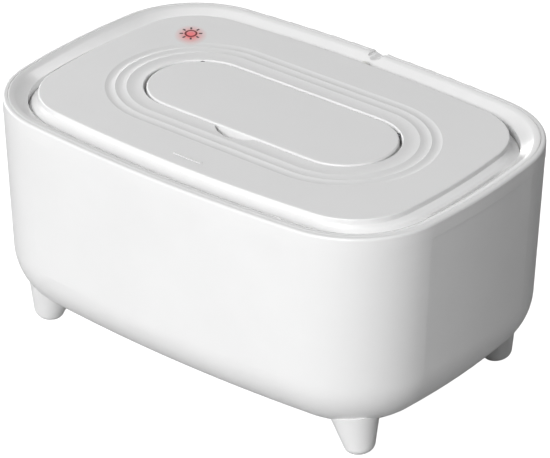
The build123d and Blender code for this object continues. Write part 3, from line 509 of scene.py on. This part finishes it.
# ---------------------------------------------------------------- finishes on the CAD's pieces
FINISHES = {
    "outer_tub": tub_abs, "inner_tub": liner_abs,
    "front_left_foot": tub_abs, "front_right_foot": tub_abs,
    "rear_left_foot": tub_abs, "rear_right_foot": tub_abs,
    "foot_screws": zinc_steel, "foot_plugs": soft_rubber,
    "lid_cover": lid_abs, "lid_base": tray_abs, "lid_gasket": silicone,
    "lid_screws": zinc_steel, "cord_gland": soft_rubber, "dispensing_orifice": silicone,
    "heater_plate": rolled_aluminium, "heater_film": amber_film, "insulation_pad": grey_foam,
    "plate_screws": zinc_steel, "thermal_fuse": tinned_can, "temperature_sensor": black_epoxy,
    "control_board": green_board, "indicator_led": red_epoxy, "light_guide": polished_acrylic(),
    "dispensing_flap": flap_abs, "flap_hinge_pins": ground_steel,
}
for name, finish in FINISHES.items():
    mesh = nodes[name].data
    mesh.materials.clear()
    mesh.materials.append(finish)
paint_lid_glow_and_bar_shade()
coved_lid()
warm_symbol()


# ---------------------------------------------------------------- floor
FLOOR_HALF = 6.0
FLOOR_GLOW = 1.02
PAPER_CLOUDS = 3.0  # per metre


def studio_paper():
    """Matt paper, evenly pale and without shine. The camera sees it lit from behind, so that it
    stays white without lighting the object more."""
    material, tree, place = new_material("studio_paper_white")
    cloud = add(tree, "ShaderNodeTexNoise", {"Scale": PAPER_CLOUDS}, {"Vector": place})
    tone = add(tree, "ShaderNodeValToRGB", links={"Fac": cloud.outputs["Fac"]},
               stops=two_tones("B2B2B2", "B4B4B4"))
    paper = add(tree, "ShaderNodeBsdfPrincipled", {"Roughness": 0.9, "Specular IOR Level": 0.1},
                {"Base Color": tone.outputs["Color"]})
    glow = add(tree, "ShaderNodeEmission", {"Color": (1, 1, 1, 1), "Strength": FLOOR_GLOW})
    lit = add(tree, "ShaderNodeAddShader",
              links={0: paper.outputs["BSDF"], 1: glow.outputs["Emission"]})
    seen = add(tree, "ShaderNodeLightPath").outputs["Is Camera Ray"]
    pick = add(tree, "ShaderNodeMixShader",
               links={"Fac": seen, 1: paper.outputs["BSDF"], 2: lit.outputs["Shader"]})
    add(tree, "ShaderNodeOutputMaterial", links={"Surface": pick.outputs["Shader"]})
    return material


def pale_floor():
    """A square of studio paper under the feet."""
    builder = bmesh.new()
    corners = ((-1, -1), (1, -1), (1, 1), (-1, 1))
    builder.faces.new([builder.verts.new((x * FLOOR_HALF, y * FLOOR_HALF, 0.0))
                       for x, y in corners])
    mesh = bpy.data.meshes.new("floor")
    builder.to_mesh(mesh)
    builder.free()
    mesh.materials.append(studio_paper())
    floor = bpy.data.objects.new("floor", mesh)
    scene.collection.objects.link(floor)


# ---------------------------------------------------------------- light
def soft_box(name, place, aim, width, height, power):
    """Rectangular white studio light in watts, aimed at a point."""
    light = bpy.data.lights.new(name, "AREA")
    light.shape = "RECTANGLE"
    light.size = width
    light.size_y = height
    light.energy = power
    holder = bpy.data.objects.new(name, light)
    scene.collection.objects.link(holder)
    aimed = (Vector(aim) - Vector(place)).to_track_quat("-Z", "Y").to_matrix().to_4x4()
    holder.matrix_world = Matrix.Translation(place) @ aimed


# The room is pale low down, and dark overhead and to the right, towards DARK_WAY.
DARK_WAY = (0.93, -0.10, 0.20)
DARK_FROM, DARK_TO = 0.02, 0.30
PALE_STRENGTH, DARK_STRENGTH = 0.93, 0.0
OVERHEAD_FROM, OVERHEAD_TO = 0.15, 0.60
OVERHEAD_SHARE = 0.15


def studio_room():
    """The light that the room's walls and ceiling give, as a smooth gradient."""
    world = bpy.data.worlds.new("studio")
    scene.world = world
    world.use_nodes = True
    room = world.node_tree
    room.nodes.clear()
    way = add(room, "ShaderNodeTexCoord").outputs["Generated"]
    toward_dark = add(room, "ShaderNodeVectorMath", {1: DARK_WAY}, {0: way},
                      operation="DOT_PRODUCT")
    side = add(room, "ShaderNodeMapRange",
               {"From Min": DARK_FROM, "From Max": DARK_TO,
                "To Min": PALE_STRENGTH, "To Max": DARK_STRENGTH},
               {"Value": toward_dark.outputs["Value"]}, interpolation_type="SMOOTHSTEP")
    height = add(room, "ShaderNodeSeparateXYZ", links={"Vector": way}).outputs["Z"]
    overhead = add(room, "ShaderNodeMapRange",
                   {"From Min": OVERHEAD_FROM, "From Max": OVERHEAD_TO,
                    "To Min": 1.0, "To Max": OVERHEAD_SHARE},
                   {"Value": height}, interpolation_type="SMOOTHSTEP")
    strength = add(room, "ShaderNodeMath",
                   links={0: side.outputs["Result"], 1: overhead.outputs["Result"]},
                   operation="MULTIPLY")
    glow = add(room, "ShaderNodeBackground", {"Color": (1, 1, 1, 1)},
               {"Strength": strength.outputs["Value"]})
    add(room, "ShaderNodeOutputWorld", links={"Surface": glow.outputs["Background"]})


pale_floor()
soft_box("key_front", place=(0.88, -3.26, 2.40), aim=(0, 0, 0.06), width=1.8, height=1.6,
         power=165.0)
soft_box("horizon_strip", place=(-2.62, 0.70, 0.48), aim=(0, 0, 0.1), width=3.2, height=0.6,
         power=30.0)
soft_box("rim_soft", place=(0.26, 1.46, 1.42), aim=(0, 0, 0.11), width=0.6, height=0.3,
         power=2.6)
studio_room()


# ---------------------------------------------------------------- camera
# The camera's place, the vector out of its back and its small roll fix the view.
CAMERA_AT = Vector((838.018, -1028.564, 794.23)) * MM
CAMERA_BACK = Vector((0.55088, -0.67806, 0.48658)).normalized()
CAMERA_ROLL = math.radians(0.174)
SENSOR_WIDTH_MM = 36.0
LENS_MM = 221.53
CLIP = (0.05, 30.0)

level = Vector((0, 0, 1)).cross(CAMERA_BACK).normalized()
upright = CAMERA_BACK.cross(level)
right = level * math.cos(CAMERA_ROLL) + upright * math.sin(CAMERA_ROLL)
up = upright * math.cos(CAMERA_ROLL) - level * math.sin(CAMERA_ROLL)
lens = bpy.data.cameras.new("camera")
lens.sensor_width = SENSOR_WIDTH_MM
lens.lens = LENS_MM
lens.clip_start, lens.clip_end = CLIP
camera = bpy.data.objects.new("camera", lens)
scene.collection.objects.link(camera)
turn = Matrix((right, up, CAMERA_BACK)).transposed()
camera.matrix_world = Matrix.Translation(CAMERA_AT) @ turn.to_4x4()
scene.camera = camera
scene.view_settings.view_transform = "Standard"
